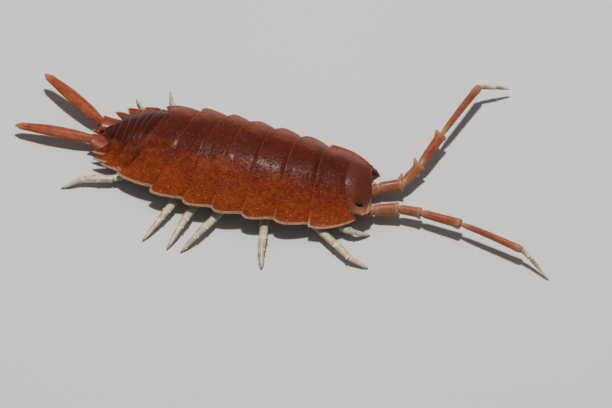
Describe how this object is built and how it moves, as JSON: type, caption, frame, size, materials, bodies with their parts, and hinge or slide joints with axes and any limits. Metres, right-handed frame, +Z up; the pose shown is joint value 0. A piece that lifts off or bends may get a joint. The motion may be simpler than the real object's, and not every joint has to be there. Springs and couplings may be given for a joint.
{
  "type": "woodlouse",
  "caption": "Life-size woodlouse model with arched shell plates, spread feelers, long tail feelers and pale legs.",
  "frame": {"origin": "under the middle of the whole model's box, on the floor", "axes": "+X forward, towards the head; +Y the animal's left; +Z up"},
  "size_m": [0.0368, 0.0212, 0.0039],
  "materials": {
    "shell": "glossy, finely granular red-brown cuticle",
    "tail_shell": "glossy orange-brown cuticle",
    "feeler": "orange-brown cuticle with paler joints",
    "leg": "pale cream, slightly see-through cuticle",
    "soft_body": "pale soft belly skin",
    "eye": "black, beaded"
  },
  "bodies": {
    "root": {"pereonite_1": "shell", "pereonite_2": "shell", "pereonite_3": "shell", "pereonite_4": "shell", "pereonite_5": "shell", "pereonite_6": "shell", "pereonite_7": "shell", "head": "shell", "pleonite_1": "tail_shell", "pleonite_2": "tail_shell", "pleonite_3": "tail_shell", "pleonite_4": "tail_shell", "pleonite_5": "tail_shell", "telson": "tail_shell", "uropod_left_protopod": "tail_shell", "uropod_right_protopod": "tail_shell", "uropod_left_endopod": "tail_shell", "uropod_right_endopod": "tail_shell", "antenna_left_article_1": "feeler", "antenna_left_article_2": "feeler", "antenna_left_article_3": "feeler", "antenna_left_article_4": "feeler", "antenna_left_article_5": "feeler", "antenna_left_flagellum_1": "feeler", "antenna_left_flagellum_2": "feeler", "antenna_right_article_1": "feeler", "antenna_right_article_2": "feeler", "antenna_right_article_3": "feeler", "antenna_right_article_4": "feeler", "antenna_right_article_5": "feeler", "antenna_right_flagellum_1": "feeler", "antenna_right_flagellum_2": "feeler", "uropod_left_exopod": "feeler", "uropod_right_exopod": "feeler", "leg_left_1": "leg", "leg_left_2": "leg", "leg_left_3": "leg", "leg_left_4": "leg", "leg_left_5": "leg", "leg_left_6": "leg", "leg_left_7": "leg", "leg_right_1": "leg", "leg_right_2": "leg", "leg_right_3": "leg", "leg_right_4": "leg", "leg_right_5": "leg", "leg_right_6": "leg", "leg_right_7": "leg", "underside": "soft_body", "pleopods": "soft_body", "mouthparts": "soft_body", "eye_left": "eye", "eye_right": "eye"}
  },
  "joints": []
}
